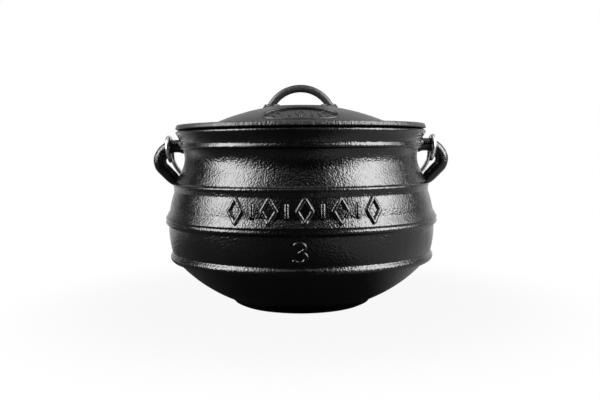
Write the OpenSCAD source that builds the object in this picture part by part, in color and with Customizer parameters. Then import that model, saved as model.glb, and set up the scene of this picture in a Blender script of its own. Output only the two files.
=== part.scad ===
// Potjie pot: a cast iron pot on a low foot, with two ears, a domed lid and a wire bail.
// Millimetres. The origin is the middle of the foot's flat underside and +Z points up.
// The ears lie along X. The bail hangs down behind the pot, on the +Y side.

/* [Pot] */
// Widest diameter of the plain belly wall
belly_d = 276; // [250:1:300]
// Height of the widest place of the belly
belly_z = 83; // [78:1:90]
// Radius of the arc that the belly's side follows
belly_arc = 104; // [92:1:120]
// Radius of the arc that the bowl follows from the lower rib to the foot
bowl_arc = 150; // [120:1:220]
// Thickness of the cast wall
wall = 5; // [3.5:0.1:7]
// Thickness of the floor over the foot
floor_t = 7; // [5:0.1:10]
// Diameter of the foot disc
foot_d = 147; // [130:1:156]
// Height of the foot disc
foot_h = 6.5; // [4:0.1:9]
// Width of the foot's sloping edge
foot_edge = 8; // [3:0.1:10]
// How far under the widest place the belly meets the bowl
knee_drop = 33; // [29:0.5:37]

/* [Ribs] */
// Height of the middle of the lower rib over the place where the belly meets the bowl
lower_rib_up = 2; // [1:0.2:5]
// Height of the middle of the belly rib over the widest place
belly_rib_up = 7.5; // [5:0.5:14]
// Radius of the round back of the two ribs
rib_r = 4.8; // [3:0.1:7]
// How far the ribs stand out of the wall
rib_out = 3.7; // [1.5:0.1:4.2]
// Height of the shoulder ridge over the widest place
ridge_up = 42; // [37:0.5:46]
// How far the ridge stands out of the belly wall under it
ridge_step = 3.66; // [2.8:0.02:4.6]
// Radius of the ridge's round edge
ridge_r = 2.2; // [1.5:0.1:3]
// How far the ridge stands out of the neck's slope
ridge_out = 1.4; // [0.8:0.1:2]

/* [Neck and rim] */
// How far the neck draws in from the ridge to its narrowest place
neck_in = 11.9; // [9:0.1:14]
// Height of the narrowest place of the neck over the ridge
neck_up = 27; // [25:0.5:30]
// Radius of the hollow of the neck
neck_arc = 26; // [20:0.5:34]
// How far the straight collar stands out of the narrowest place of the neck
collar_out = 4.3; // [3.4:0.1:6]
// Height of the collar's lower edge over the narrowest place of the neck
collar_up = 10; // [8:0.5:12]
// Radius of the ring round the collar's lower edge
ring_r = 2.9; // [2:0.1:4]
// How far the ring stands out of the collar
ring_out = 0.8; // [0.4:0.1:1.6]
// Height of the rim's flat seat over the collar's lower edge
collar_h = 19.6; // [17:0.2:23]
// How far the rim's lip stands out of the collar
rim_out = 4.6; // [3.4:0.1:6]
// Radius of the rim's rounded lip
lip_r = 3; // [1.5:0.1:4]
// Height of the flare between collar and lip
flare_h = 6.5; // [3:0.1:9]

/* [Ears] */
// Diameter of the ear's round bar
ear_bar_d = 13.5; // [10:0.1:15]
// Height of the middle of the ear's level arm over the collar's lower edge
ear_up = 2.8; // [1:0.1:4]
// How far the ears stand out of the collar
ear_out = 30; // [28:0.1:34]
// Radius of the bend, at the middle of the bar
ear_bend = 13.5; // [12:0.1:15]
// Slope of the ear's lower strut off the upright
ear_strut_deg = 45; // [38:1:52]
// Length of the flared root where a bar meets the wall
ear_root = 5; // [2:0.5:8]
// How much thicker the root is than the bar, on the radius
ear_flare = 2.2; // [0.5:0.1:3]

/* [Lid] */
// How far the lid's brim reaches past the rim's lip
lid_over = 0.1; // [-2:0.1:2]
// Thickness of the brim
brim_t = 4.5; // [3:0.1:7]
// Width of the small bevel along the brim's edges
brim_bevel = 0.7; // [0.3:0.1:1.2]
// Width of the flat brim round the dome
brim_w = 36.4; // [30:0.2:44]
// Radius of the dome's sphere
dome_arc = 214; // [180:1:280]
// Diameter of the flat crown
crown_d = 69; // [60:1:80]
// Thickness of the dome
dome_t = 4.5; // [3:0.1:6]
// Clearance between the mouth and the ring under the brim
lid_gap = 0.8; // [0.3:0.1:2]
// Height of the ring under the brim
lid_ring_h = 5; // [3:0.1:8]
// Width of the ring under the brim
lid_ring_w = 4.5; // [3:0.1:8]
// Length of the sunk oval panel, across the lid
panel_l = 72; // [50:1:80]
// Width of the sunk oval panel, along the slope as seen from above
panel_w = 39; // [24:1:42]
// Distance from the dome's foot in to the middle of the oval panel, as seen from above
panel_in = 26.5; // [24:0.5:32]
// Depth of the oval panel
panel_depth = 1.2; // [0.5:0.1:2]
// Diameter of the two round bosses
boss_d = 16.4; // [14:0.1:20]
// Height of the bosses over the crown
boss_h = 2.5; // [1:0.1:4]

/* [Lid handle] */
// Diameter of the handle's rod
rod_d = 8; // [6:0.1:9]
// Radius of the handle's arc, at the middle of the rod
handle_arc = 35; // [31:0.1:38]
// Height of the top of the handle over the crown
handle_h = 22.9; // [19:0.1:26]
// Clearance of the rod in its sockets
socket_gap = 0.1; // [0.05:0.05:0.3]
// Metal left under the lowest corner of each socket
socket_floor = 1.6; // [1:0.1:2.5]

/* [Bail] */
// Diameter of the bail's wire
wire_d = 5; // [4:0.1:5.6]
// Radius of the hooks, inside the wire
hook_in_r = 9.7; // [9.5:0.1:10.2]
// How far the middle of each hook stands out of the collar
hook_out = 12.6; // [12:0.1:13.2]
// Clearance between the hooks and the tops of the ears, and between the bail and the belly
bail_gap = 0.3; // [0.2:0.05:0.8]
// Turn of the hook from its top to its free end
hook_end_deg = 158; // [120:1:165]
// Length of the upright leg behind the ear
hook_leg = 3; // [1:0.1:5]
// Radius of the bend from the leg into the bail, at the middle of the wire
bail_bend = 9; // [6:0.1:12]
// Straight length of the bail at each end, before its half circle
bail_straight = 4; // [1:0.5:8]

/* [Hidden] */
// Facets of a full turn in the preview: of the large rounds, and of the bars, wires and small beads
$fn = 48;
small_fn = 20;
IRON = [0.09, 0.09, 0.095];
PAINTED = [0.16, 0.16, 0.17];
ZINC = [0.72, 0.74, 0.76];
// How far a solid runs past the face that it opens or joins, and how far two outlines lap
over = 1;
lap = 0.4;
// Profile of the foot's edge: the shares of its width and height at which it turns steeper
foot_turn = [0.3, 0.4];
// Where the rim's flare runs into the round of the lip, down from the level
flare_deg = 37;
// Round the lid handle's arc, where the cuts for its sockets end, over the bosses
clear_deg = 80;
// Where a bar goes on from a tilted joint, it is this much thinner and starts this far inside
joint_step = 0.04;
joint_lap = 0.5;

// Slopes of the bail that are tried, from the flattest to the steepest
slopes = [5, 60];

// Heights, from the belly up
knee_z = belly_z - knee_drop;
lower_rib_z = knee_z + lower_rib_up;
belly_rib_z = belly_z + belly_rib_up;
ridge_z = belly_z + ridge_up;
neck_z = ridge_z + neck_up;
collar_z = neck_z + collar_up;
rim_z = collar_z + collar_h;
ear_z = collar_z + ear_up;

// Belly and bowl: two arcs that meet under the lower rib
belly_c = [belly_d/2 - belly_arc, belly_z];
function belly_r_at(z) = belly_c[0] + sqrt(belly_arc*belly_arc - pow(z - belly_z, 2));
knee = [belly_r_at(knee_z), knee_z];
heel = [foot_d/2, foot_h];
bowl_c = arc_centre(heel, knee, bowl_arc);

// Outer radii from the ridge up, and the radius of the mouth
ridge_rad = belly_r_at(ridge_z) + ridge_step;
neck_rad = ridge_rad - neck_in;
collar_rad = neck_rad + collar_out;
rim_rad = collar_rad + rim_out;
mouth_r = collar_rad - wall;

// Neck: a straight slope that runs up from the ridge into a hollow arc
neck_c = [neck_rad + neck_arc, neck_z];
slope_foot = [ridge_rad - ridge_out, ridge_z + lap];
slope_run = neck_c - slope_foot;
slope_dir = atan2(slope_run[1], slope_run[0]) + asin(neck_arc/norm(slope_run));
slope_in = [cos(slope_dir + 90), sin(slope_dir + 90)];

// Lid
lid_rad = rim_rad + lid_over;
dome_rad = lid_rad - brim_w;
brim_z = rim_z + brim_t;
dome_cz = brim_z - sqrt(dome_arc*dome_arc - dome_rad*dome_rad);
crown_z = dome_cz + sqrt(dome_arc*dome_arc - crown_d*crown_d/4);
panel_y = dome_rad - panel_in;

// Lid handle: an arc whose two ends sit in the sockets
handle_cz = crown_z + handle_h - rod_d/2 - handle_arc;
socket_deg = asin((crown_z - dome_t + socket_floor - handle_cz)/(handle_arc - rod_d/2));
boss_x = sqrt(pow(handle_arc, 2) - pow(crown_z + boss_h - handle_cz, 2));

// Ears
ear_r = ear_bar_d/2;
bend_c = [collar_rad + ear_out - ear_r - ear_bend, ear_z - ear_bend];
strut_len = (bend_c[0] + ear_bend*cos(ear_strut_deg) - slope_foot[0])/sin(ear_strut_deg);
// How deep the arms and the struts run into the wall before the inside is cut out
arm_sink = 9;
strut_sink = 4.5;

// Bail: the hinge line, and where its wire runs when its bow slopes down by deg. The wire leaves the
// hook by the upright leg and the bend, and turn goes from 0 at one end of the bow to 90 at its middle.
wire_r = wire_d/2;
hook_r = hook_in_r + wire_r;
hook_x = collar_rad + hook_out;
hinge_z = ear_z + ear_r + bail_gap - hook_in_r;
rib_c = [belly_r_at(belly_rib_z) + rib_out - rib_r, belly_rib_z];
function bow_start(deg) = [hook_r + bail_bend*(1 - sin(deg)), -hook_leg - bail_bend*cos(deg)];
function wire_at(deg, turn) =
    let (back = bow_start(deg) + (bail_straight + hook_x*sin(turn))*[cos(deg), -sin(deg)])
    [norm([hook_x*cos(turn), back[0]]), hinge_z + back[1]];
// Whether the bow, from near its ends to its middle, comes too close to the circle of the outline
// with centre c and radius r, and the first slope at which it does so
function meets(deg, c, r) =
    min([for (turn = [30 : 5 : 90]) norm(wire_at(deg, turn) - c)]) < r + wire_r + bail_gap;
function first_touch(from, to, step) = min([for (deg = [from : step : to])
    if (meets(deg, belly_c, belly_arc) || meets(deg, rib_c, rib_r)) deg]);
// The bail comes to rest at the first slope at which it would touch the belly or its rib
near_deg = first_touch(slopes[0], slopes[1], 1);
rest_deg = first_touch(near_deg - 1, near_deg, 0.02) - 0.02;

// Centre of the arc with radius r that runs from a up to b and bulges away from the axis
function arc_centre(a, b, r) =
    let (half = norm(b - a)/2, d = (b - a)/norm(b - a))
    (a + b)/2 + sqrt(r*r - half*half)*[-d[1], d[0]];

// Half outlines, turned about the pot's axis. inset moves the wall's face inwards.

// Bowl and belly up to the ridge
module belly_outline(inset, bottom) {
    intersection() {
        translate(belly_c) circle(belly_arc - inset);
        translate(bowl_c) circle(bowl_arc - inset);
        translate([0, bottom]) square([belly_d, ridge_z + lap - bottom]);
    }
}

// Neck from the ridge up to a given height
module neck_outline(inset, top, reach) {
    touch = neck_c + (neck_arc + inset)*slope_in;
    start = slope_foot + inset*slope_in;
    intersection() {
        difference() {
            polygon([[0, start[1]], start, touch, neck_c, [neck_c[0], top], [0, top]]);
            translate(neck_c) circle(neck_arc + inset);
        }
        square([reach, top + over]);
    }
}

// Collar with its ring, and the rim that flares out to a rounded lip
module collar_outline() {
    lip_c = [rim_rad - lip_r, rim_z - lip_r];
    flare_z = lip_c[1] - flare_h;
    translate([0, collar_z]) square([collar_rad, rim_z - collar_z]);
    translate([collar_rad + ring_out - ring_r, collar_z + ring_r]) circle(ring_r, $fn = small_fn);
    translate(lip_c) circle(lip_r, $fn = small_fn);
    polygon([
        [mouth_r, flare_z], [collar_rad, flare_z], lip_c + lip_r*[cos(flare_deg), -sin(flare_deg)],
        [lip_c[0], rim_z], [mouth_r, rim_z]
    ]);
}

// A rib with a round back, standing out of the belly wall at a given height
module rib_outline(z) {
    translate([belly_r_at(z) + rib_out - rib_r, z]) circle(rib_r, $fn = small_fn);
}

module foot_outline() {
    r = foot_d/2;
    polygon([
        [0, 0], [r - foot_edge, 0], [r - foot_turn[0]*foot_edge, foot_turn[1]*foot_h], [r, foot_h],
        [r, foot_h + over], [0, foot_h + over]
    ]);
}

module outer_outline() {
    foot_outline();
    belly_outline(0, foot_h);
    rib_outline(lower_rib_z);
    rib_outline(belly_rib_z);
    translate([ridge_rad - ridge_r, ridge_z]) circle(ridge_r, $fn = small_fn);
    neck_outline(0, collar_z + lap, belly_d);
    collar_outline();
}

module inner_outline() {
    belly_outline(wall, floor_t);
    neck_outline(wall, rim_z + over, mouth_r);
}

// One ear on the +X side: a level arm, a bend and a strut that runs down to the shoulder
module ear() {
    arm_x = collar_rad - arm_sink;
    strut_top = bend_c + ear_bend*[cos(ear_strut_deg), -sin(ear_strut_deg)];
    translate([arm_x, 0, ear_z]) rotate([0, 90, 0])
        cylinder(r = ear_r, h = bend_c[0] - arm_x, $fn = small_fn);
    translate([collar_rad - over, 0, ear_z]) rotate([0, 90, 0])
        cylinder(r1 = ear_r + ear_flare, r2 = ear_r - joint_step, h = ear_root, $fn = small_fn);
    translate([bend_c[0], 0, bend_c[1]]) rotate([0, -90, -90])
        rotate_extrude(angle = 90 + ear_strut_deg) translate([ear_bend, 0]) circle(ear_r, $fn = small_fn);
    translate([strut_top[0], 0, strut_top[1]]) rotate([0, 270 - ear_strut_deg, 0]) {
        translate([0, 0, -joint_lap])
            cylinder(r = ear_r - joint_step, h = strut_len + joint_lap + strut_sink, $fn = small_fn);
        translate([0, 0, strut_len - ear_root])
            cylinder(r1 = ear_r - 2*joint_step, r2 = ear_r + ear_flare, h = ear_root, $fn = small_fn);
    }
}

module pot_body() {
    color(IRON) difference() {
        union() {
            rotate_extrude() outer_outline();
            ear();
            mirror([1, 0, 0]) ear();
        }
        rotate_extrude() inner_outline();
    }
}

// Lid

module lid_outline() {
    r = lid_rad;
    ring_out_r = mouth_r - lid_gap;
    b = brim_bevel;
    difference() {
        union() {
            polygon([
                [0, rim_z], [r - b, rim_z], [r, rim_z + b], [r, brim_z - b], [r - b, brim_z], [0, brim_z]
            ]);
            intersection() {
                translate([0, dome_cz]) circle(dome_arc);
                translate([0, rim_z]) square([dome_rad, crown_z - rim_z]);
            }
        }
        intersection() {
            translate([0, dome_cz]) circle(dome_arc - dome_t);
            translate([0, rim_z - over]) square([dome_rad, crown_z - dome_t - rim_z + over]);
        }
    }
    translate([ring_out_r - lid_ring_w, rim_z - lid_ring_h]) square([lid_ring_w, lid_ring_h + over]);
}

// The oval, sunk evenly below the sphere of the dome
module panel_cut() {
    oval = [for (i = [0 : $fn - 1]) [panel_l/2*cos(i*360/$fn), panel_w/2*sin(i*360/$fn)]];
    difference() {
        translate([0, -panel_y, brim_z]) linear_extrude(height = crown_z - brim_z) polygon(oval);
        translate([0, 0, dome_cz]) sphere(dome_arc - panel_depth);
    }
}

// The handle's arc, with a given radius of rod
module handle_arc_solid(r, from, to) {
    translate([0, 0, handle_cz]) rotate([90, 0, 0]) rotate([0, 0, from])
        rotate_extrude(angle = to - from) translate([handle_arc, 0]) circle(r, $fn = small_fn);
}

module lid() {
    boss_bottom = crown_z - dome_t/2;
    color(IRON) difference() {
        union() {
            rotate_extrude() lid_outline();
            for (side = [-1, 1])
                translate([side*boss_x, 0, boss_bottom])
                    cylinder(d = boss_d, h = crown_z + boss_h - boss_bottom);
        }
        panel_cut();
        handle_arc_solid(rod_d/2 + socket_gap, socket_deg, clear_deg);
        handle_arc_solid(rod_d/2 + socket_gap, 180 - clear_deg, 180 - socket_deg);
    }
}

module lid_handle() {
    color(PAINTED) handle_arc_solid(rod_d/2, socket_deg, 180 - socket_deg);
}

// Bail

// The hook and the first stretch of the bail on the +X side. Local X points back, local Y up.
module hook() {
    translate([hook_x, 0, hinge_z]) rotate([0, 0, 90]) rotate([90, 0, 0]) {
        rotate_extrude(angle = 90 + hook_end_deg) translate([hook_r, 0]) circle(wire_r, $fn = small_fn);
        translate([hook_r, -hook_leg, 0]) rotate([-90, 0, 0])
            cylinder(r = wire_r, h = hook_leg, $fn = small_fn);
        translate([hook_r + bail_bend, -hook_leg, 0]) rotate([0, 0, 180])
            rotate_extrude(angle = 90 - rest_deg) translate([bail_bend, 0]) circle(wire_r, $fn = small_fn);
    }
}

module bail() {
    start = bow_start(rest_deg);
    bow_r = wire_r - joint_step;
    color(ZINC) {
        hook();
        mirror([1, 0, 0]) hook();
        translate([0, start[0], hinge_z + start[1]]) rotate([-rest_deg, 0, 0]) {
            for (side = [-1, 1])
                translate([side*hook_x, -joint_lap, 0]) rotate([-90, 0, 0])
                    cylinder(r = bow_r, h = bail_straight + joint_lap, $fn = small_fn);
            translate([0, bail_straight, 0])
                rotate_extrude(angle = 180) translate([hook_x, 0]) circle(bow_r, $fn = small_fn);
        }
    }
}

pot_body();
lid();
lid_handle();
bail();
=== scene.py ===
"""The looks of a potjie pot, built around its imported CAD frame.

Sizes are written in millimetres and turned into metres where the meshes are made. The frame has
+Z up, the ears along X, the camera on the -Y side and the bail hanging down on the +Y side.
"""

from __future__ import annotations

import logging
import math
from dataclasses import dataclass, field
from enum import Enum
from typing import Iterable, Sequence

import bmesh
import bpy
from mathutils import Matrix, Vector

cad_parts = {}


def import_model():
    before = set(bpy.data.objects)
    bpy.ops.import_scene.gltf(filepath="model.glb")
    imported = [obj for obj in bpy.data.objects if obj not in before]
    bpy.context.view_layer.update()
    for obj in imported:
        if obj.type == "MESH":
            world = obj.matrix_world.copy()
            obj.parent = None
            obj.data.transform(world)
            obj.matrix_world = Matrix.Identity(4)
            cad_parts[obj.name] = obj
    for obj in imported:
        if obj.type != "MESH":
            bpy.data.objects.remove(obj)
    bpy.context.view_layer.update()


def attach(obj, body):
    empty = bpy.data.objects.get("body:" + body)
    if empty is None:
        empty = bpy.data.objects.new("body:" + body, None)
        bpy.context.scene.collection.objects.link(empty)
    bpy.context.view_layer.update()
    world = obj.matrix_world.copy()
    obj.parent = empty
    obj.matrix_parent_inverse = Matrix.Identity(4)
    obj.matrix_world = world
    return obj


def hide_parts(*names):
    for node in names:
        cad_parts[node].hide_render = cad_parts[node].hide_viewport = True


LOG = logging.getLogger("potjie")
MM = 0.001
MERGE = 1e-6
SHARP_DEG = 40.0

Point = tuple[float, float]
Colour = tuple[float, float, float]


class Body(Enum):
    """The bodies of the CAD frame that pieces ride on."""

    POT = "pot"
    BAIL = "bail"


class Slot(Enum):
    """The names of the material slots."""

    POT_IRON = "pot_iron"
    LID_IRON = "lid_iron"
    HANDLE_ROD = "handle_rod"
    BAIL_WIRE = "bail_wire"


# Outlines


def arc(centre: Point, radius: float, start_deg: float, end_deg: float, steps: int) -> list[Point]:
    """Lists points along an arc.

    Args:
        centre: Middle of the arc.
        radius: Radius of the arc.
        start_deg: Angle of the first point.
        end_deg: Angle of the last point.
        steps: How many chords the arc has.

    Returns:
        The steps + 1 points from start to end.
    """
    turns = [math.radians(start_deg + (end_deg - start_deg) * i / steps) for i in range(steps + 1)]
    return [(centre[0] + radius * math.cos(t), centre[1] + radius * math.sin(t)) for t in turns]


def arc_centre(start: Point, end: Point, radius: float) -> Point:
    """Finds the centre of the arc from start up to end that bulges away from the axis.

    Args:
        start: Lower end of the arc.
        end: Upper end of the arc.
        radius: Radius of the arc.

    Returns:
        The centre.
    """
    chord = Vector(end) - Vector(start)
    half = chord.length / 2
    along = chord.normalized()
    middle = (Vector(start) + Vector(end)) / 2
    centre = middle + math.sqrt(radius**2 - half**2) * Vector((-along.y, along.x))
    return centre.x, centre.y


def resampled(points: Sequence[Point], spacing: float) -> list[Vector]:
    """Spreads points evenly along a polyline.

    Args:
        points: Corners of the polyline.
        spacing: Wanted distance between the new points.

    Returns:
        The new points, with both ends kept.
    """
    corners = [Vector(p) for p in points]
    lengths = [0.0]
    for a, b in zip(corners, corners[1:]):
        lengths.append(lengths[-1] + (b - a).length)
    count = max(2, round(lengths[-1] / spacing))
    spread = []
    k = 0
    for i in range(count + 1):
        wanted = lengths[-1] * i / count
        while k < len(lengths) - 2 and lengths[k + 1] < wanted:
            k += 1
        run = lengths[k + 1] - lengths[k]
        share = (wanted - lengths[k]) / run if run else 0.0
        spread.append(corners[k].lerp(corners[k + 1], share))
    return spread


def softened(points: Sequence[Point], spacing: float = 0.3, passes: int = 12) -> list[Vector]:
    """Rounds the corners of an outline, as sand casting and fettling round them.

    Args:
        points: Corners of the outline.
        spacing: Distance between the points that are averaged.
        passes: How often each point is averaged with its two neighbours.

    Returns:
        The rounded outline.
    """
    line = resampled(points, spacing)
    for _ in range(passes):
        inner = [(a + 2 * b + c) / 4 for a, b, c in zip(line, line[1:], line[2:])]
        line = [line[0], *inner, line[-1]]
    return line


def filleted(heights: Sequence[float], radii: Sequence[float], ball: float) -> list[float]:
    """Fills the hollow corners of a wall, as a ball that rolls up its outside would leave them.

    Args:
        heights: Heights at even steps.
        radii: The wall's radius at each height.
        ball: Radius of the ball.

    Returns:
        The radii with their hollow corners rounded.
    """
    reach = int(ball / (heights[1] - heights[0]))
    caps = [math.sqrt(max(0.0, ball**2 - (heights[k] - heights[0]) ** 2)) for k in range(reach + 1)]

    def rolled(values: Sequence[float], sign: int) -> list[float]:
        """Moves the ball over one side of the values."""
        near = range(-reach, reach + 1)
        spread = [[values[i + k] * sign + caps[abs(k)] for k in near if 0 <= i + k < len(values)]
                  for i in range(len(values))]
        return [max(row) * sign for row in spread]

    return rolled(rolled(radii, 1), -1)


def thinned(line: Sequence[Vector], turn_deg: float, longest: float, reach: float = 0.9) -> list[Vector]:
    """Keeps only the points that an outline needs, and more of them on both sides of a bend.

    Args:
        line: A dense outline of even steps.
        turn_deg: A point is kept about every time the outline has turned this far.
        longest: Longest stretch without a point.
        reach: How far before and after a bend its points still lie close.

    Returns:
        The kept points.
    """
    steps = [b - a for a, b in zip(line, line[1:])]
    turns = [0.0, *(math.degrees(a.angle(b, 0.0)) for a, b in zip(steps, steps[1:])), 0.0]
    near = max(1, round(reach / steps[0].length))
    kept = [line[0]]
    due = 0.0
    for i, step in enumerate(steps[:-1], 1):
        due += step.length / longest + max(turns[max(0, i - near):i + near + 1]) / turn_deg
        if due >= 1:
            kept.append(line[i])
            due = 0.0
    kept.append(line[-1])
    return kept


# Modelling by Blender's own tools


def deselect_all() -> None:
    """Leaves nothing selected and nothing active, in object mode."""
    if bpy.context.object and bpy.context.object.mode != "OBJECT":
        bpy.ops.object.mode_set(mode="OBJECT")
    bpy.ops.object.select_all(action="DESELECT")


def pick(obj: bpy.types.Object) -> None:
    """Makes one object the only one selected, and the active one."""
    deselect_all()
    obj.select_set(True)
    bpy.context.view_layer.objects.active = obj


def line_curve(
    name: str, paths: Iterable[Sequence[Vector]], radius: float = 0.0, shares: Sequence[float] = (),
    closed: bool = False, sides: int = 5,
) -> bpy.types.Object:
    """Makes a mesh from lines in space: bare lines, or round bars that follow them.

    Args:
        name: Name of the new object.
        paths: The points of each line, in metres.
        radius: Radius of the bars in metres, or 0 for bare lines.
        shares: Share of the radius at each point, where it varies.
        closed: Whether each line joins up with its start.
        sides: Fineness of the bars' section.

    Returns:
        The mesh object, in object mode.
    """
    curve = bpy.data.curves.new(name, "CURVE")
    curve.dimensions = "3D"
    curve.bevel_depth = radius
    curve.bevel_resolution = sides
    curve.use_fill_caps = not closed
    for path in paths:
        spline = curve.splines.new("POLY")
        spline.points.add(len(path) - 1)
        spline.use_cyclic_u = closed
        for i, (target, at) in enumerate(zip(spline.points, path)):
            target.co = (*at, 1.0)
            target.radius = shares[i] if shares else 1.0
    obj = bpy.data.objects.new(name, curve)
    bpy.context.collection.objects.link(obj)
    pick(obj)
    bpy.ops.object.convert(target="MESH")
    return bpy.context.object


def clean_mesh(obj: bpy.types.Object, sharp_deg: float = SHARP_DEG) -> None:
    """Merges doubles, turns the faces outwards and shades them smooth up to an angle.

    Args:
        obj: The mesh object.
        sharp_deg: Edges that turn more than this stay sharp.
    """
    pick(obj)
    bpy.ops.object.mode_set(mode="EDIT")
    bpy.ops.mesh.select_all(action="SELECT")
    bpy.ops.mesh.remove_doubles(threshold=MERGE)
    bpy.ops.mesh.normals_make_consistent(inside=False)
    bpy.ops.object.mode_set(mode="OBJECT")
    bpy.ops.object.shade_smooth_by_angle(angle=math.radians(sharp_deg))


def spun(name: str, outline: Sequence[Vector], steps: int) -> bpy.types.Object:
    """Spins an outline that starts and ends on the axis, or is closed, about the Z axis.

    Args:
        name: Name of the new object.
        outline: Points of radius and height, in millimetres.
        steps: How many segments go round.

    Returns:
        The closed mesh.
    """
    obj = line_curve(name, [[Vector((p.x * MM, 0, p.y * MM)) for p in outline]])
    bpy.ops.object.mode_set(mode="EDIT")
    bpy.ops.mesh.select_all(action="SELECT")
    bpy.ops.mesh.spin(steps=steps, angle=math.tau, center=(0, 0, 0), axis=(0, 0, 1))
    bpy.ops.object.mode_set(mode="OBJECT")
    clean_mesh(obj)
    return obj


def roughened(obj: bpy.types.Object, lump_mm: float, height_mm: float) -> None:
    """Gives a casting the slight lumps of its sand mould.

    Args:
        obj: The mesh object.
        lump_mm: Size of the lumps.
        height_mm: Height from the lowest to the highest place.
    """
    texture = bpy.data.textures.new(f"{obj.name}_lumps", "CLOUDS")
    texture.noise_scale = lump_mm * MM
    texture.noise_depth = 1
    pick(obj)
    lumps = obj.modifiers.new("lumps", "DISPLACE")
    lumps.texture = texture
    lumps.texture_coords = "LOCAL"
    lumps.strength = height_mm * MM
    lumps.mid_level = 0.5
    bpy.ops.object.modifier_apply(modifier="lumps")


def joined(name: str, parts: Sequence[bpy.types.Object]) -> bpy.types.Object:
    """Joins several meshes into one piece.

    Args:
        name: Name of the piece.
        parts: The meshes.

    Returns:
        The piece.
    """
    deselect_all()
    for part in parts:
        part.select_set(True)
    bpy.context.view_layer.objects.active = parts[0]
    bpy.ops.object.join()
    obj = bpy.context.object
    obj.name = name
    obj.data.name = name
    return obj


def mirrored(obj: bpy.types.Object, name: str) -> bpy.types.Object:
    """Copies a piece to the other side of the plane X = 0.

    Args:
        obj: The piece on the +X side.
        name: Name of the copy.

    Returns:
        The copy, with its own mesh and its faces outwards.
    """
    pick(obj)
    bpy.ops.object.duplicate()
    copy = bpy.context.object
    copy.name = name
    copy.data.name = name
    bpy.ops.transform.mirror(
        orient_type="GLOBAL", constraint_axis=(True, False, False), center_override=(0, 0, 0))
    bpy.ops.object.transform_apply(location=True, rotation=True, scale=True)
    clean_mesh(copy)
    return copy


def dress(
    obj: bpy.types.Object, material: bpy.types.Material, body: Body, replaces: Sequence[str] = ()
) -> None:
    """Gives a finished piece its material, its body and the CAD nodes that it stands for.

    Args:
        obj: The finished mesh, with its place in its vertices.
        material: Its finish.
        body: The body that it rides on.
        replaces: CAD nodes that aren't shown any more.
    """
    obj.data.materials.clear()
    obj.data.materials.append(material)
    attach(obj, body.value)
    if replaces:
        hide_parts(*replaces)
    LOG.info("%s: %d faces on %s", obj.name, len(obj.data.polygons), body.value)


# Materials


class Sock:
    """A node's output whose arithmetic adds Math nodes."""

    def __init__(self, bench: Bench, socket: bpy.types.NodeSocket) -> None:
        """Keeps the socket and the bench that its nodes are added to."""
        self.bench = bench
        self.socket = socket

    def math(self, operation: str, *others: Sock | float) -> Sock:
        """Adds a Math node that takes this value first.

        Args:
            operation: The node's operation.
            others: The values after this one.

        Returns:
            The node's result.
        """
        return self.bench.add("ShaderNodeMath", {"operation": operation}, dict(enumerate((self, *others))))

    def __add__(self, other: Sock | float) -> Sock:
        """Adds."""
        return self.math("ADD", other)

    def __sub__(self, other: Sock | float) -> Sock:
        """Takes away."""
        return self.math("SUBTRACT", other)

    def __rsub__(self, other: float) -> Sock:
        """Takes this value away from a number."""
        return (self * -1.0) + other

    def __mul__(self, other: Sock | float) -> Sock:
        """Multiplies."""
        return self.math("MULTIPLY", other)


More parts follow.
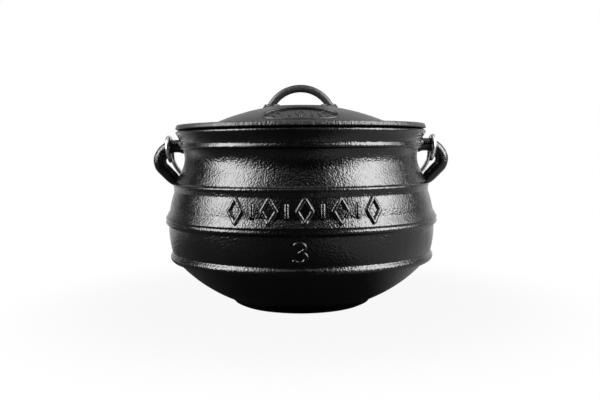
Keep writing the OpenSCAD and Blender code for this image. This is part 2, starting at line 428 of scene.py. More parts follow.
class Bench:
    """Builds the nodes of one material, or of the world."""

    def __init__(self, owner: bpy.types.Material | bpy.types.World) -> None:
        """Starts with an empty node tree."""
        self.owner = owner
        owner.use_nodes = True
        self.tree = owner.node_tree
        self.tree.nodes.clear()

    @classmethod
    def material(cls, name: str) -> Bench:
        """Starts a new material."""
        return cls(bpy.data.materials.new(name))

    def add(self, kind: str, settings: dict[str, object] | None = None,
            values: dict[int | str, Sock | float | tuple] | None = None, out: int | str = 0) -> Sock:
        """Adds a node, with its settings first and then the values or links of its sockets.

        Args:
            kind: The node's type.
            settings: Its properties.
            values: Its inputs, by number or name.
            out: Which output is wanted.

        Returns:
            That output.
        """
        node = self.tree.nodes.new(kind)
        for key, value in (settings or {}).items():
            setattr(node, key, value)
        for key, value in (values or {}).items():
            if isinstance(value, Sock):
                self.tree.links.new(value.socket, node.inputs[key])
            else:
                node.inputs[key].default_value = value
        return Sock(self, node.outputs[out]) if node.outputs else Sock(self, node.inputs[0])

    def vector(self, operation: str, *values: Sock | tuple) -> Sock:
        """Adds a Vector Math node and gives its vector, or the value of a length or a dot product."""
        out = "Value" if operation in ("LENGTH", "DOT_PRODUCT") else "Vector"
        return self.add("ShaderNodeVectorMath", {"operation": operation}, dict(enumerate(values)), out)

    def rays(self) -> list[Sock]:
        """Tells the camera's rays, mirrored rays and rays through clear things, each by 1 or 0."""
        kinds = ("Camera", "Glossy", "Transmission")
        return [self.add("ShaderNodeLightPath", out=f"Is {kind} Ray") for kind in kinds]

    def place(self, stretch: tuple[float, float, float] = (1.0, 1.0, 1.0)) -> Sock:
        """Gives the place on the piece in millimetres, with its axes stretched or squeezed."""
        coordinates = self.add("ShaderNodeTexCoord", out="Object")
        return self.vector("MULTIPLY", coordinates, tuple(share / MM for share in stretch))

    def noise(self, place: Sock, size_mm: float, detail: float) -> Sock:
        """Gives soft random values whose spots have a given size in millimetres."""
        return self.add("ShaderNodeTexNoise", {}, {"Vector": place, "Scale": 1 / size_mm, "Detail": detail})

    def step(self, value: Sock, low: float, high: float) -> Sock:
        """Gives a smooth rise from 0 at low to 1 at high."""
        values = {"Value": value, "From Min": low, "From Max": high}
        return self.add("ShaderNodeMapRange", {"interpolation_type": "SMOOTHSTEP"}, values)

    def mix(self, share: Sock, first: Colour, second: Colour) -> Sock:
        """Mixes two colours by a share."""
        values = {0: share, 6: (*first, 1.0), 7: (*second, 1.0)}
        return self.add("ShaderNodeMix", {"data_type": "RGBA"}, values, out=2)

    def bump(self, height: Sock, depth_mm: float, under: Sock | None = None) -> Sock:
        """Turns a height from 0 to 1 into a normal.

        Args:
            height: The height.
            depth_mm: How deep a height of 1 is.
            under: A normal from another bump, to add to.

        Returns:
            The normal.
        """
        values: dict[int | str, Sock | float | tuple] = {"Height": height, "Distance": depth_mm * MM}
        if under:
            values["Normal"] = under
        return self.add("ShaderNodeBump", {}, values)

    def finish(self, **values: Sock | float | tuple) -> bpy.types.Material:
        """Adds the main shader and the output.

        Args:
            values: The shader's sockets, with _ for a space in their names.

        Returns:
            The material.
        """
        shader = self.add("ShaderNodeBsdfPrincipled", {}, {k.replace("_", " "): v for k, v in values.items()})
        self.add("ShaderNodeOutputMaterial", {}, {"Surface": shader})
        return self.owner


@dataclass(frozen=True)
class CastIron:
    """Black seasoned sand-cast iron: a satin skin of fine grain over slight lumps."""

    name: str
    dark: Colour = (0.0015, 0.0015, 0.0015)
    light: Colour = (0.0034, 0.0034, 0.0035)
    roughness: float = 0.22
    patch_mm: float = 34.0
    patch_roughness: float = 0.12
    fine_roughness: float = 0.08
    pebble_mm: float = 1.7
    pebble_depth_mm: float = 0.3
    fine_mm: float = 0.9
    fine_depth_mm: float = 0.09
    lump_mm: float = 7.0
    lump_depth_mm: float = 0.18
    streak_low_mm: float = 0.0
    streak_high_mm: float = 0.0
    streak_radius_mm: float = 0.0
    streak_depth_mm: float = 0.8

    def material(self) -> bpy.types.Material:
        """Builds the material."""
        b = Bench.material(self.name)
        place = b.place()
        lumps = b.noise(place, self.lump_mm, 1.0)
        pebbles = b.noise(place, self.pebble_mm, 0.0)
        fine = b.noise(place, self.fine_mm, 1.0)
        patches = b.noise(place, self.patch_mm, 3.0)
        share = b.step(patches * 0.6 + fine * 0.4, 0.35, 0.65)
        uneven = (patches - 0.5) * self.patch_roughness + (fine - 0.5) * self.fine_roughness
        normal = b.bump(lumps, self.lump_depth_mm)
        normal = b.bump(pebbles, self.pebble_depth_mm, normal)
        normal = b.bump(fine, self.fine_depth_mm, normal)
        if self.streak_high_mm:
            normal = b.bump(self.streaks(b, place), self.streak_depth_mm, normal)
        return b.finish(
            Base_Color=b.mix(share, self.dark, self.light),
            Roughness=uneven + self.roughness,
            Normal=normal,
            IOR=1.5,
        )

    def streaks(self, b: Bench, place: Sock) -> Sock:
        """Gives the upright grinding marks on a turned edge.

        Args:
            b: The material's bench.
            place: The place in millimetres.

        Returns:
            The height of the marks, which fades out away from the edge.
        """
        height = b.add("ShaderNodeSeparateXYZ", {}, {0: place}, out=2)
        radius = b.vector("LENGTH", b.vector("MULTIPLY", place, (1.0, 1.0, 0.0)))
        low = b.step(height, self.streak_low_mm - 0.4, self.streak_low_mm + 0.4)
        high = b.step(height, self.streak_high_mm + 0.4, self.streak_high_mm - 0.4)
        edge = b.step(radius, self.streak_radius_mm - 1.0, self.streak_radius_mm)
        marks = b.noise(b.place((1.0, 1.0, 0.05)), 2.2, 1.0)
        return marks * low * high * edge


@dataclass(frozen=True)
class PaintedRod:
    """Dark grey painted steel rod with faint drawing marks along it."""

    name: str
    dark: Colour = (0.034, 0.034, 0.035)
    light: Colour = (0.06, 0.06, 0.062)
    roughness: float = 0.45

    def material(self) -> bpy.types.Material:
        """Builds the material."""
        b = Bench.material(self.name)
        place = b.place()
        mottle = b.noise(place, 3.0, 3.0)
        grain = b.noise(place, 0.9, 1.0)
        marks = b.noise(b.place((0.12, 1.0, 0.12)), 0.6, 1.0)
        return b.finish(
            Base_Color=b.mix(b.step(mottle, 0.35, 0.65), self.dark, self.light),
            Roughness=(mottle - 0.5) * 0.2 + self.roughness,
            Normal=b.bump(grain * 0.5 + marks * 0.5, 0.05),
            IOR=1.5,
        )


@dataclass(frozen=True)
class ZincWire:
    """Bright zinc-coated wire with dull patches and shallow dents."""

    name: str
    dull: Colour = (0.42, 0.43, 0.45)
    bright: Colour = (0.74, 0.75, 0.77)
    roughness: float = 0.27

    def material(self) -> bpy.types.Material:
        """Builds the material."""
        b = Bench.material(self.name)
        place = b.place()
        patches = b.noise(place, 5.0, 3.0)
        dents = b.noise(place, 1.6, 2.0)
        return b.finish(
            Base_Color=b.mix(b.step(patches, 0.3, 0.6), self.dull, self.bright),
            Metallic=1.0,
            Roughness=(patches - 0.5) * -0.3 + self.roughness,
            Normal=b.bump(dents, 0.06),
        )


# The pot


@dataclass
class PotBody:
    """The casting: bowl, belly, ribs, neck, collar and rim, with an ear on each side."""

    iron: CastIron
    belly_d: float = 276.0
    belly_z: float = 83.0
    belly_arc: float = 104.0
    bowl_arc: float = 150.0
    wall: float = 5.0
    floor_t: float = 7.0
    foot_d: float = 147.0
    foot_h: float = 6.5
    foot_edge: float = 8.0
    knee_z: float = 50.0
    lower_rib_z: float = 51.5
    rib_r: float = 4.8
    rib_out: float = 3.7
    belly_rib_z: float = 90.5
    bead_r: float = 2.6
    bead_drop: float = 3.2
    bead_out: float = 3.3
    skirt_foot: float = 91.2
    skirt_h: float = 8.0
    skirt_out: float = 3.5
    ridge_z: float = 124.2
    ridge_d: float = 265.6
    ridge_r: float = 2.2
    ridge_out: float = 1.4
    flank_h: float = 6.5
    flank_in: float = 0.5
    neck_d: float = 241.8
    neck_z: float = 152.0
    neck_arc: float = 26.0
    collar_d: float = 250.4
    collar_z: float = 162.0
    ring_z: float = 163.2
    ring_r: tuple[float, float] = (1.6, 4.0)
    ring_out: float = 0.9
    rim_d: float = 259.6
    rim_z: float = 181.2
    lip_r: float = 1.8
    lip_drop: float = 3.5
    lip_deg: float = 60.0
    flare_h: float = 10.5
    flare_power: float = 1.8
    flare_deg: float = 37.0
    fillet_r: float = 2.0
    ear_d: float = 13.5
    ear_z: float = 164.6
    ear_reach: float = 155.0
    ear_bend: tuple[float, float] = (18.5, 11.0)
    ear_turn_deg: float = 24.0
    ear_strut_deg: float = 45.0
    ear_flare: float = 1.3
    ear_root: float = 5.0
    strut_taper: float = 0.35
    strut_root: float = 10.0
    arm_sunk: float = 2.5
    strut_sunk: float = 4.0
    lumps: tuple[float, float] = (14.0, 0.15)
    ear_lumps: tuple[float, float] = (7.0, 0.35)
    ground_gap: float = 0.05
    steps: int = 336
    slope_foot: Vector = field(init=False)
    neck_c: Vector = field(init=False)
    slope_in: Vector = field(init=False)
    bowl_c: Point = field(init=False)

    def __post_init__(self) -> None:
        """Works out where the arcs and the slope meet."""
        self.slope_foot = Vector((self.ridge_d / 2 - self.ridge_out, self.ridge_z))
        self.neck_c = Vector((self.neck_d / 2 + self.neck_arc, self.neck_z))
        run = self.neck_c - self.slope_foot
        turn = math.atan2(run.y, run.x) + math.asin(self.neck_arc / run.length)
        self.slope_in = Vector((-math.sin(turn), math.cos(turn)))
        knee = (self.belly_at(self.knee_z), self.knee_z)
        self.bowl_c = arc_centre((self.foot_d / 2, self.foot_h), knee, self.bowl_arc)

    def belly_at(self, z: float) -> float:
        """Gives the belly arc's radius at a height."""
        middle = self.belly_d / 2 - self.belly_arc
        return middle + math.sqrt(self.belly_arc**2 - (z - self.belly_z) ** 2)

    def plain_at(self, z: float) -> float:
        """Gives the outer radius at a height between the foot's top and the rim, without ribs."""
        if z < self.ridge_z:
            bowl = self.bowl_c[0] + math.sqrt(self.bowl_arc**2 - (z - self.bowl_c[1]) ** 2)
            return min(bowl, self.belly_at(z))
        touch = self.neck_c + self.neck_arc * self.slope_in
        if z < touch.y:
            share = (z - self.slope_foot.y) / (touch.y - self.slope_foot.y)
            return self.slope_foot.x + share * (touch.x - self.slope_foot.x)
        if z < self.collar_z:
            return self.neck_c.x - math.sqrt(self.neck_arc**2 - (z - self.neck_z) ** 2)
        turn = math.radians(self.flare_deg)
        out = self.rim_d / 2 - self.lip_r * (1 - math.cos(turn)) - self.collar_d / 2
        top = self.rim_z - self.lip_drop - self.lip_r * math.sin(turn)
        share = max(0.0, 1 - (top - z) / self.flare_h)
        return self.collar_d / 2 + out * share**self.flare_power

    def band_at(self, z: float) -> float:
        """Gives the belly's radius at a height, with the rib's skirt and the flank under the ridge."""
        radius = self.belly_at(z)
        top = self.skirt_foot + self.skirt_h
        if self.skirt_foot < z < top:
            share = (top - z) / self.skirt_h
            low = self.belly_at(self.skirt_foot) + self.skirt_out
            radius = max(radius, self.belly_at(top) + share * (low - self.belly_at(top)))
        foot = self.ridge_z - self.flank_h
        if foot < z < self.ridge_z:
            share = (z - foot) / self.flank_h
            head = self.ridge_d / 2 - self.flank_in
            radius = max(radius, self.belly_at(foot) + share * (head - self.belly_at(foot)))
        return radius

    def outer_at(self, z: float) -> float:
        """Gives the outer radius at a height, ribs, ridge, ring and lip included."""
        low_rib = self.belly_at(self.lower_rib_z) + self.rib_out
        bead = self.belly_at(self.belly_rib_z) + self.bead_out
        rounds = [
            (low_rib, self.lower_rib_z, (self.rib_r, self.rib_r)),
            (bead, self.belly_rib_z - self.bead_drop, (self.bead_r, self.bead_r)),
            (self.ridge_d / 2, self.ridge_z, (self.ridge_r, self.ridge_r)),
            (self.collar_d / 2 + self.ring_out, self.ring_z, self.ring_r),
        ]
        lip_z = self.rim_z - self.lip_drop
        if z > lip_z - self.lip_r * math.sin(math.radians(self.flare_deg)):
            head = math.radians(self.lip_deg)
            lip_top = lip_z + self.lip_r * math.sin(head)
            lip = math.sqrt(self.lip_r**2 - (min(z, lip_top) - lip_z) ** 2)
            return self.rim_d / 2 - self.lip_r + lip - max(0.0, z - lip_top) * math.tan(head)
        radius = self.plain_at(z)
        if self.knee_z < z < self.ridge_z:
            radius = self.band_at(z)
        for out, height, (below, above) in rounds:
            r = above if z > height else below
            if abs(z - height) < r:
                radius = max(radius, out - r + math.sqrt(r**2 - (z - height) ** 2))
        return radius

    def outline(self) -> list[Vector]:
        """Gives the whole section, from the foot's middle out, up, over the rim and down inside."""
        r = self.foot_d / 2
        foot = [(0.0, 0.0), (r - self.foot_edge, 0.0), (r - 0.3 * self.foot_edge, 0.4 * self.foot_h)]
        count = round((self.rim_z - self.foot_h) / 0.2)
        heights = [self.foot_h + (self.rim_z - self.foot_h) * i / count for i in range(count)]
        radii = [self.outer_at(z) for z in heights]
        filled = filleted(heights, radii, self.fillet_r)
        inner_z = (self.foot_h + 2 * self.fillet_r, self.collar_z + self.ring_r[1])
        outside = [(f if inner_z[0] < z < inner_z[1] else r, z) for z, r, f in zip(heights, radii, filled)]
        rim = [(self.outer_at(self.rim_z), self.rim_z), (self.collar_d / 2 - self.wall, self.rim_z)]
        inside = [(self.plain_at(z) - self.wall, z) for z in heights if self.floor_t + 6 < z < self.rim_z - 8]
        floor = [(self.foot_d / 2 - 8, self.floor_t), (0.0, self.floor_t)]
        outer = thinned(softened([*foot, *outside, *rim], 0.3, 5), 7.0, 3.2)
        inner = thinned(softened([rim[-1], *reversed(inside), *floor], 1.0, 6), 9.0, 7.0)
        return [*outer, *inner[1:]]

    def ear(self) -> bpy.types.Object:
        """Models the ear on the +X side: a level arm, a bend that tightens and a strut to the shoulder."""
        bar = self.ear_d / 2
        wide, tight = self.ear_bend
        turn = math.radians(self.ear_turn_deg)
        lean = math.radians(self.ear_strut_deg)
        strut = Vector((-math.sin(lean), -math.cos(lean)))
        shift = (wide - tight) * Vector((math.cos(turn), math.sin(turn)))
        low = Vector((self.ear_reach - bar - tight, self.ear_z - wide + shift.y))
        high = low - shift
        end = low + tight * Vector((-strut.y, strut.x))
        reach = (end.x - self.ridge_d / 2 + self.strut_sunk) / -strut.x
        points = [(self.collar_d / 2 - self.arm_sunk, self.ear_z)]
        points += arc((high.x, high.y), wide, 90, self.ear_turn_deg, 30)
        points += arc((low.x, low.y), tight, self.ear_turn_deg, -self.ear_strut_deg, 30)[1:]
        points.append(tuple(end + reach * strut))
        line = resampled(points, 0.7)
        length = sum((b - a).length for a, b in zip(line, line[1:]))
        shares = []
        for i in range(len(line)):
            run = length * i / (len(line) - 1)
            root = max(0.0, 1 - max(0.0, run - self.arm_sunk) / self.ear_root)
            foot = max(0.0, 1 - (length - run) / self.strut_root)
            flare = self.ear_flare / bar * (1 - math.sqrt(1 - root**2))
            shares.append(1 + flare - self.strut_taper * foot**1.5)
        path = [Vector((p.x, 0, p.y)) * MM for p in line]
        return line_curve("ear_right", [path], bar * MM, shares, sides=9)

    def build(self) -> None:
        """Makes the casting and its ears, which stand for the CAD body."""
        finish = self.iron.material()
        shell = spun("pot_casting", self.outline(), self.steps)
        roughened(shell, *self.lumps)
        for vertex in shell.data.vertices:
            vertex.co.z = max(vertex.co.z, self.ground_gap * MM)
        dress(shell, finish, Body.POT, ["pot_body"])
        right = self.ear()
        clean_mesh(right)
        roughened(right, *self.ear_lumps)
        left = mirrored(right, "ear_left")
        for ear in (right, left):
            dress(ear, finish, Body.POT)


@dataclass
class Relief:
    """Raised round-backed strokes on a curved wall."""

    finish: bpy.types.Material
    slot: Slot
    stroke_r: float = 2.4
    sunk: float = 0.3
    mark_h: float = 22.0
    pitch: float = 16.0
    count: int = 9
    bar_share: float = 0.33
    wide_share: float = 0.42

    def on_wall(self, across: float, up: float, out: float) -> Vector:
        """Puts a point on the wall.

        Args:
            across: Distance to the right of the relief's middle, in millimetres.
            up: Distance up from it.
            out: Height over the wall.

        Returns:
            The point in metres.
        """
        raise NotImplementedError

    def stroke(self, name: str, points: Sequence[Point], closed: bool = False) -> bpy.types.Object:
        """Raises one stroke on the wall.

        Args:
            name: Name of the mesh.
            points: Its line, across and up from the relief's middle.
            closed: Whether the line joins up.

        Returns:
            The stroke's mesh.
        """
        line = resampled([*points, points[0]] if closed else points, 0.8)
        path = [self.on_wall(p.x, p.y, -self.sunk) for p in (line[:-1] if closed else line)]
        ends = [0.6, 0.85] + [1.0] * (len(path) - 4) + [0.85, 0.6]
        return line_curve(name, [path], self.stroke_r * MM, [] if closed else ends, closed, 4)

    def lozenge(self, name: str, middle: Point, wide: float, high: float) -> bpy.types.Object:
        """Raises a lozenge of a given half width and half height."""
        x, y = middle
        return self.stroke(name, [(x, y + high), (x + wide, y), (x, y - high), (x - wide, y)], True)

    def bar(self, name: str, middle: Point, high: float) -> bpy.types.Object:
        """Raises an upright bar of a given half height."""
        x, y = middle
        return self.stroke(name, [(x, y + high), (x, y - high)])

    def row(self, name: str, up: float) -> list[bpy.types.Object]:
        """Raises a row of lozenges with bars between them.

        Args:
            name: Start of the marks' names.
            up: Height of the row's middle.

        Returns:
            The marks' meshes.
        """
        marks = []
        for i in range(self.count):
            at = ((i - (self.count - 1) / 2) * self.pitch, up)
            if i % 2:
                marks.append(self.bar(f"{name}_bar_{i}", at, self.mark_h * self.bar_share))
            else:
                wide = self.pitch * self.wide_share
                marks.append(self.lozenge(f"{name}_lozenge_{i}", at, wide, self.mark_h / 2))
        return marks

    def put(self, name: str, marks: Sequence[bpy.types.Object]) -> None:
        """Joins strokes into one piece and dresses it."""
        piece = joined(name, marks)
        clean_mesh(piece, sharp_deg=60)
        dress(piece, self.finish, Body.POT)


@dataclass
class BellyRelief(Relief):
    """The front of the belly: a plain size numeral under a band of lozenges and bars."""

    pot: PotBody = field(kw_only=True)
    middle_x: float = 3.0
    numeral_x: float = -5.0
    numeral_z: float = 69.5
    numeral_h: float = 17.5
    numeral_w: float = 12.0
    band_z: float = 105.8

    def on_wall(self, across: float, up: float, out: float) -> Vector:
        """Puts a point on the front of the belly, whose relief's middle is at the height 0."""
        radius = self.pot.band_at(up)
        turn = (self.middle_x + across) / radius
        tilt = math.asin((up - self.pot.belly_z) / self.pot.belly_arc)
        reach = radius + out * math.cos(tilt)
        return Vector((reach * math.sin(turn), -reach * math.cos(turn), up + out * math.sin(tilt))) * MM

    def numeral(self) -> bpy.types.Object:
        """Models the plain size numeral, a three of two round bows."""
        w, h = self.numeral_w / 2, self.numeral_h / 2
        top_r, low_r = h * 0.45, h * 0.55
        top = arc((0.0, h - top_r), top_r, 160, -90, 24)
        low = arc((0.0, -h + low_r), low_r, 90, -160, 26)
        return self.stroke("size_numeral", [
            (self.numeral_x + x * w / low_r, self.numeral_z + y) for x, y in [*top, *low[1:]]])

    def build(self) -> None:
        """Makes the numeral and the band."""
        self.put("size_numeral", [self.numeral()])
        self.put("relief_band", self.row("band", self.band_z))


@dataclass
class LidRelief(Relief):
    """The lid's oval panel: a bead round its edge and a plain row of small lozenges and bars inside."""

    lid: Lid = field(kw_only=True)
    mark_h: float = 20.0
    pitch: float = 11.0
    count: int = 5
    bar_share: float = 0.4
    wide_share: float = 0.4
    border_r: float = 1.3
    border_out: float = 0.6
    border_rise: float = 0.8

    def on_wall(self, across: float, up: float, out: float) -> Vector:
        """Puts a point on the floor of the oval panel."""
        at = Vector((across, up - self.lid.panel_y, 0.0))
        at.z = math.sqrt(self.lid.dome_arc**2 - at.length_squared)
        at = at.normalized() * (self.lid.dome_arc - self.lid.panel_depth + out)
        return (at + Vector((0, 0, self.lid.dome_cz))) * MM

    def border(self) -> bpy.types.Object:
        """Raises the bead round the oval, from the panel's floor to just above the dome."""
        wide, high = self.lid.panel_l / 2 + self.border_out, self.lid.panel_w / 2 + self.border_out
        turns = [math.tau * i / 120 for i in range(120)]
        level = self.lid.panel_depth + self.border_rise - self.border_r
        path = [self.on_wall(wide * math.cos(t), high * math.sin(t), level) for t in turns]
        return line_curve("panel_border", [path], self.border_r * MM, closed=True, sides=4)

    def build(self) -> None:
        """Makes the bead and the row."""
        self.put("panel_relief", [self.border(), *self.row("panel", 0.0)])


@dataclass
class Lid:
    """The domed lid with its brim, locating ring, sunk oval panel and two bosses."""

    pot: PotBody
    iron: CastIron
    lid_d: float = 259.8
    brim_t: float = 4.9
    bevel: float = 0.3
    edge_r: float = 10.7
    edge_deg: tuple[float, float] = (35.0, 10.0)
    dome_d: float = 187.0
    dome_arc: float = 222.0
    crown_d: float = 69.0
    crown_rise: float = 0.75
    dome_t: float = 4.5
    gap: float = 0.8
    ring_h: float = 5.0
    ring_w: float = 4.5
    panel_l: float = 72.0
    panel_w: float = 39.0
    panel_y: float = 67.0
    panel_depth: float = 1.9
    panel_edge: float = 2.4
    panel_cut: float = 4.0
    boss_d: float = 16.4
    boss_h: float = 2.5
    steps: int = 300

    @property
    def brim_z(self) -> float:
        """Height of the brim's top."""
        return self.pot.rim_z + self.brim_t

    @property
    def crown_z(self) -> float:
        """Height of the flat crown."""
        return self.dome_cz + math.sqrt(self.dome_arc**2 - self.crown_d**2 / 4) + self.crown_rise

    @property
    def dome_cz(self) -> float:
        """Height of the middle of the dome's sphere."""
        return self.brim_z - math.sqrt(self.dome_arc**2 - self.dome_d**2 / 4)

    def outline(self) -> list[Vector]:
        """Gives the section from the crown's middle, out over the brim and back under it."""
        r, b, low = self.lid_d / 2, self.bevel, self.pot.rim_z
        mouth = self.pot.collar_d / 2 - self.pot.wall
        start = math.degrees(math.acos((self.crown_d / 2 + 4) / self.dome_arc))
        end = math.degrees(math.asin((self.brim_z - self.dome_cz) / self.dome_arc))
        top = [(0.0, self.crown_z), (self.crown_d / 2, self.crown_z)]
        top += arc((0.0, self.dome_cz), self.dome_arc, start, end, 60)[1:]
        head, foot = self.edge_deg
        turn = math.radians(foot)
        edge_c = (r - self.edge_r * math.cos(turn), low + b - self.edge_r * math.sin(turn))
        top += [*arc(edge_c, self.edge_r, head, foot, 12), (r - b, low)]
        ring = mouth - self.gap
        under = [(r - b, low), (ring, low), (ring, low - self.ring_h)]
        under += [(ring - self.ring_w, low - self.ring_h), (ring - self.ring_w, low)]
        inner_r = self.dome_arc - self.dome_t
        flat_z = self.crown_z - self.dome_t
        foot = math.degrees(math.asin((low - self.dome_cz) / inner_r))
        head = math.degrees(math.asin((flat_z - self.dome_cz) / inner_r))
        under += arc((0.0, self.dome_cz), inner_r, foot, head, 30)
        under.append((0.0, flat_z))
        outer = thinned(softened(top, 0.3, 8), 6.0, 3.0)
        inner = thinned(softened(under, 0.4, 3), 9.0, 8.0)
        return [*outer, *inner[1:]]

    def oval(self, x: float, y: float, grow: float = 0.0) -> float:
        """Gives how far a point lies outside the panel's oval, in millimetres, below 0 inside it."""
        a, b = self.panel_l / 2 + grow, self.panel_w / 2 + grow
        share = math.hypot(x / a, (y + self.panel_y) / b)
        slope = math.hypot(x / a**2, (y + self.panel_y) / b**2)
        return (share - 1) * share / slope if slope > 1e-9 else -b

    def sink_panel(self, lid: bpy.types.Object) -> None:
        """Cuts the dome finer round the oval and presses the panel down, with a soft edge.

        Args:
            lid: The lid's mesh.
        """
        for inmost in (-math.inf, -self.panel_cut):
            pick(lid)
            mesh = bmesh.new()
            mesh.from_mesh(lid.data)
            for face in mesh.faces:
                at = face.calc_center_median() / MM
                near = inmost < self.oval(at.x, at.y) < self.panel_cut
                face.select_set(near and face.normal.z > 0.5)
            mesh.to_mesh(lid.data)
            mesh.free()
            bpy.ops.object.mode_set(mode="EDIT")
            bpy.ops.mesh.select_mode(type="FACE")
            bpy.ops.mesh.subdivide(number_cuts=1)
            bpy.ops.object.mode_set(mode="OBJECT")
        for vertex in lid.data.vertices:
            x, y, z = vertex.co / MM
            if z < self.brim_z or abs(y + self.panel_y) > self.panel_w:
                continue
            inside = min(1.0, max(0.0, 0.5 - self.oval(x, y) / self.panel_edge))
            sink = self.panel_depth * inside * inside * (3 - 2 * inside)
            away = (Vector((x, y, z - self.dome_cz))).normalized()
            vertex.co -= away * sink * MM

    def boss(self, side: int) -> bpy.types.Object:
        """Models one round boss with its rounded top edge and flared foot.

        Args:
            side: -1 or 1 for the side along X.

        Returns:
            The boss's mesh.
        """
        r, top = self.boss_d / 2, self.crown_z + self.boss_h
        low = self.crown_z - 1.0
        section = [(0.0, top), (r - 0.5, top), (r, top - 0.5), (r + 0.1, self.crown_z + 0.8)]
        section += [(r + 1.4, self.crown_z - 0.1), (r + 1.4, low), (0.0, low)]
        line = thinned(softened(section, 0.15, 6), 9.0, 2.0)
        boss = spun(f"boss_{side}", line, 64)
        pick(boss)
        bpy.ops.transform.translate(value=(side * LidHandle(self).boss_x * MM, 0, 0))
        bpy.ops.object.transform_apply(location=True, rotation=True, scale=True)
        return boss

    def build(self) -> None:
        """Makes the lid, which stands for the CAD lid."""
        finish = self.iron.material()
        lid = spun("lid_casting", self.outline(), self.steps)
        roughened(lid, 12.0, 0.22)
        self.sink_panel(lid)
        lid = joined("lid_casting", [lid, self.boss(-1), self.boss(1)])
        pick(lid)
        bpy.ops.object.shade_smooth_by_angle(angle=math.radians(SHARP_DEG))
        dress(lid, finish, Body.POT, ["lid"])


@dataclass
class LidHandle:
    """The bent rod whose ends are held in the lid's bosses."""

    lid: Lid
    rod_d: float = 8.0
    arc_r: float = 35.0
    height: float = 22.9

    @property
    def middle_z(self) -> float:
        """Height of the middle of the handle's arc."""
        return self.lid.crown_z + self.height - self.rod_d / 2 - self.arc_r

    @property
    def boss_x(self) -> float:
        """Distance of the bosses from the axis."""
        return math.sqrt(self.arc_r**2 - (self.lid.crown_z + self.lid.boss_h - self.middle_z) ** 2)

    def build(self, finish: bpy.types.Material) -> None:
        """Makes the rod, which stands for the CAD handle.

        Args:
            finish: Its material.
        """
        low = math.degrees(math.asin((self.lid.crown_z - 1.5 - self.middle_z) / self.arc_r))
        line = arc((0.0, self.middle_z), self.arc_r, low, 180 - low, 72)
        path = [Vector((x, 0, z)) * MM for x, z in line]
        rod = line_curve("lid_handle_rod", [path], self.rod_d / 2 * MM, sides=9)
        clean_mesh(rod)
        roughened(rod, 5.0, 0.12)
        dress(rod, finish, Body.POT, ["lid_handle"])


@dataclass
class Bail:
    """The wire bail with an open hook at each end, hung in the ears."""

    wire_d: float = 5.0
    hook_in_r: float = 9.7
    hook_x: float = 137.8
    hinge_z: float = 162.15
    hook_end_deg: float = 172.0
    hook_drop: float = 0.8
    hook_lean: tuple[float, float] = (0.8, 1.6)
    leg: float = 3.0
    bend: float = 9.0
    straight: float = 4.0
    rest_deg: float = 26.64

    def half(self) -> list[Vector]:
        """Gives the wire's line from the free end of the hook on the +X side to the middle of the bow."""
        r = self.hook_in_r + self.wire_d / 2
        hinge_z = self.hinge_z - self.hook_drop
        hook = arc((0.0, 0.0), r, 90 + self.hook_end_deg, 0, 72)
        out, back = self.hook_lean
        line = []
        for y, z in hook:
            lean = (out if z > 0 else back) * z / r * max(0.0, 1 - max(0.0, y) / r)
            line.append(Vector((self.hook_x + lean, y, hinge_z + z)))
        leg = arc((r + self.bend, -self.leg), self.bend, 180, 270 - self.rest_deg, 16)
        line += [Vector((self.hook_x, y, hinge_z + z)) for y, z in leg]
        slope = math.radians(self.rest_deg)
        along = Vector((0, math.cos(slope), -math.sin(slope)))
        start = line[-1] + self.straight * along
        for i in range(49):
            turn = math.pi / 2 * i / 48
            line.append(start + self.hook_x * (along * math.sin(turn) - Vector((1 - math.cos(turn), 0, 0))))
        return line

    def build(self, finish: bpy.types.Material) -> None:
        """Makes the wire, which stands for the CAD bail.

        Args:
            finish: Its material.
        """
        half = self.half()
        other = [Vector((-p.x, p.y, p.z)) for p in reversed(half[:-1])]
        path = [p * MM for p in [*half, *other]]
        shares = [0.8, 0.97] + [1.0] * (len(path) - 4) + [0.97, 0.8]
        wire = line_curve("bail_wire_bow", [path], self.wire_d / 2 * MM, shares, sides=6)
        clean_mesh(wire)
        dress(wire, finish, Body.BAIL, ["bail"])


# The studio


@dataclass(frozen=True)
class Softbox:
    """A soft lamp, placed by its direction from the middle of the pot."""

    name: str
    azimuth_deg: float
    elevation_deg: float
    distance: float
    width: float
    height: float
    radiance: float
    diffuse: bool = True
    glossy: bool = True

    def build(self) -> None:
        """Adds the lamp, facing the pot."""
        turn, rise = math.radians(self.azimuth_deg), math.radians(self.elevation_deg)
        aim = Vector((0, 0, 0.11))
        away = Vector((math.sin(turn) * math.cos(rise), -math.cos(turn) * math.cos(rise), math.sin(rise)))
        lamp = bpy.data.lights.new(self.name, "AREA")
        lamp.shape = "RECTANGLE"
        lamp.size = self.width
        lamp.size_y = self.height
        lamp.energy = self.radiance * math.pi * self.width * self.height
        obj = bpy.data.objects.new(self.name, lamp)
        obj.location = aim + away * self.distance
        obj.rotation_euler = away.to_track_quat("Z", "Y").to_euler()
        obj.visible_camera = False
        obj.visible_diffuse = self.diffuse
        obj.visible_glossy = self.glossy
        bpy.context.collection.objects.link(obj)


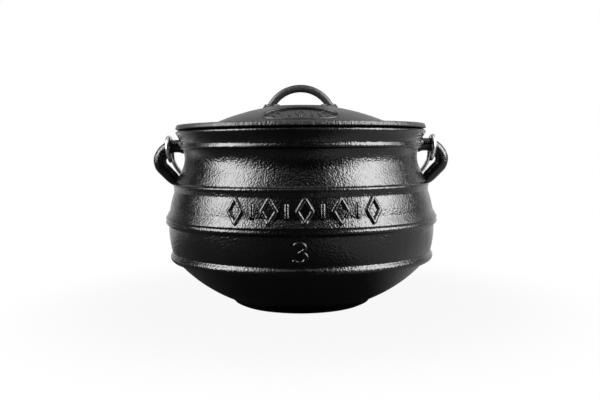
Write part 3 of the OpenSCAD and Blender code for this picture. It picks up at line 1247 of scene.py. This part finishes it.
@dataclass
class Studio:
    """The pale floor, the backdrop, the lamps, the world and the camera."""

    image_width: int = 600
    focal_px: float = 724.0
    camera_y: float = -0.7638
    camera_z: float = 0.1604
    camera_x: float = -0.0012
    pitch_deg: float = 4.01
    roll_deg: float = -0.45
    floor_colour: Colour = (0.13, 0.13, 0.13)
    floor_r: float = 3.0
    near_white: float = 0.93
    shadow_r: tuple[float, float] = (0.16, 0.34)
    behind_y: tuple[float, float] = (0.1, 0.5)
    beside_x: tuple[float, float] = (0.07, 0.2)
    right_share: float = 0.55
    left_share: float = 0.07
    room_grey: float = 0.006
    fill_grey: float = 0.25
    backdrop_way: tuple[float, float, float] = (0.1, 1.0, 0.0)
    backdrop_edge: tuple[float, float] = (0.44, 0.94)
    backdrop_top: tuple[float, float] = (0.5, 0.9)
    backdrop_fade: float = 0.35
    ceiling_edge: tuple[float, float] = (0.75, 0.95)

    def white_share(self, b: Bench) -> Sock:
        """Gives how much of plain white the camera, mirrors and clear things see of the floor.

        Args:
            b: The bench of the floor's material.

        Returns:
            The share, from 0 to 1, which is a little lower in the pot's shadow.
        """
        camera, glossy, clear = b.rays()
        across = b.vector("MULTIPLY", b.place(), (MM, MM, 0.0))
        far = b.step(b.vector("LENGTH", across), *self.shadow_r)
        split = b.add("ShaderNodeSeparateXYZ", {}, {0: across})
        side, behind = (Sock(b, split.socket.node.outputs[axis]) for axis in "XY")
        right = b.step(side, *self.beside_x) * self.right_share
        left = b.step(side * -1.0, *self.beside_x) * self.left_share
        mirrored_share = (b.step(behind, *self.behind_y) * far).math("MAXIMUM", right + left)
        return (camera + clear) * (far * (1 - self.near_white) + self.near_white) + glossy * mirrored_share

    def floor(self) -> None:
        """Adds the round floor, whose white fades into the white round it."""
        deselect_all()
        bpy.ops.mesh.primitive_circle_add(
            vertices=96, radius=self.floor_r, fill_type="NGON", location=(0, 0, 0))
        floor = bpy.context.object
        floor.name = "floor"
        b = Bench.material("floor_white")
        matt = b.add("ShaderNodeBsdfDiffuse", {}, {"Color": (*self.floor_colour, 1.0)})
        white = b.add("ShaderNodeEmission", {}, {"Color": (1.0, 1.0, 1.0, 1.0), "Strength": 1.0})
        shader = b.add("ShaderNodeMixShader", {}, {0: self.white_share(b), 1: matt, 2: white})
        b.add("ShaderNodeOutputMaterial", {}, {"Surface": shader})
        b.owner.cycles.emission_sampling = "NONE"
        floor.data.materials.append(b.owner)

    def world(self) -> None:
        """Sets the surroundings: white behind and above the pot, a dark room in front and an even fill.

        The camera and clear things see white all round. Mirrors see the white where the backdrop
        stands, behind the pot, a white ceiling overhead and the dark room elsewhere.
        """
        world = bpy.data.worlds.new("studio")
        bpy.context.scene.world = world
        world.cycles.sampling_method = "NONE"
        b = Bench(world)
        camera, glossy, clear = b.rays()
        way = b.add("ShaderNodeTexCoord", out="Generated")
        back = b.step(b.vector("DOT_PRODUCT", way, self.backdrop_way), *self.backdrop_edge)
        up = b.add("ShaderNodeSeparateXYZ", {}, {0: way}, out="Z")
        backdrop = back * (1 - b.step(up, *self.backdrop_top) * self.backdrop_fade)
        ceiling = b.step(up, *self.ceiling_edge)
        bright = backdrop.math("MAXIMUM", ceiling)
        seen = camera + clear + glossy * (bright * (1 - self.room_grey) + self.room_grey)
        fill = (1 - camera - clear - glossy) * self.fill_grey
        shader = b.add("ShaderNodeBackground", {}, {"Color": (1.0, 1.0, 1.0, 1.0), "Strength": seen + fill})
        b.add("ShaderNodeOutputWorld", {}, {"Surface": shader})

    def camera(self) -> None:
        """Adds the camera at the photograph's angle."""
        data = bpy.data.cameras.new("camera")
        data.sensor_width = 36.0
        data.lens = self.focal_px / self.image_width * data.sensor_width
        camera = bpy.data.objects.new("camera", data)
        camera.location = (self.camera_x, self.camera_y, self.camera_z)
        tilt = Matrix.Rotation(math.radians(90 - self.pitch_deg), 4, "X")
        roll = Matrix.Rotation(math.radians(self.roll_deg), 4, "Z")
        camera.rotation_euler = (tilt @ roll).to_euler()
        bpy.context.collection.objects.link(camera)
        bpy.context.scene.camera = camera

    def build(self) -> None:
        """Sets up the whole studio."""
        bpy.context.scene.view_settings.view_transform = "Standard"
        self.camera()
        self.world()
        self.floor()
        for side, name in ((-1, "left"), (1, "right")):
            Softbox(f"key_{name}", side * 50, 40, 1.3, 1.2, 1.0, 0.7, glossy=False).build()
        for name, azimuth, width, radiance in (
            ("left_core", -73, 0.9, 10.5), ("left_wing", -70, 1.7, 5.0),
            ("right_core", 69, 1.1, 10.5), ("right_wing", 74, 2.1, 5.5),
        ):
            Softbox(f"softbox_{name}", azimuth, 30, 2.0, width, 1.7, radiance, diffuse=False).build()


def main() -> None:
    """Builds the pot and the studio around the frame."""
    logging.basicConfig(level=logging.INFO, format="%(name)s: %(message)s")
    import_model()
    Studio().build()
    pot = PotBody(CastIron("pot_black_iron"))
    pot.build()
    BellyRelief(bpy.data.materials["pot_black_iron"], Slot.POT_IRON, pot=pot).build()
    lid = Lid(pot, CastIron(
        "lid_black_iron", roughness=0.4, streak_low_mm=181.6, streak_high_mm=186.1, streak_radius_mm=127.5))
    lid.build()
    LidRelief(bpy.data.materials["lid_black_iron"], Slot.LID_IRON, 1.4, 0.2, lid=lid).build()
    LidHandle(lid).build(PaintedRod("rod_dark_paint").material())
    Bail().build(ZincWire("zinc_wire").material())


if __name__ == "__main__":
    main()
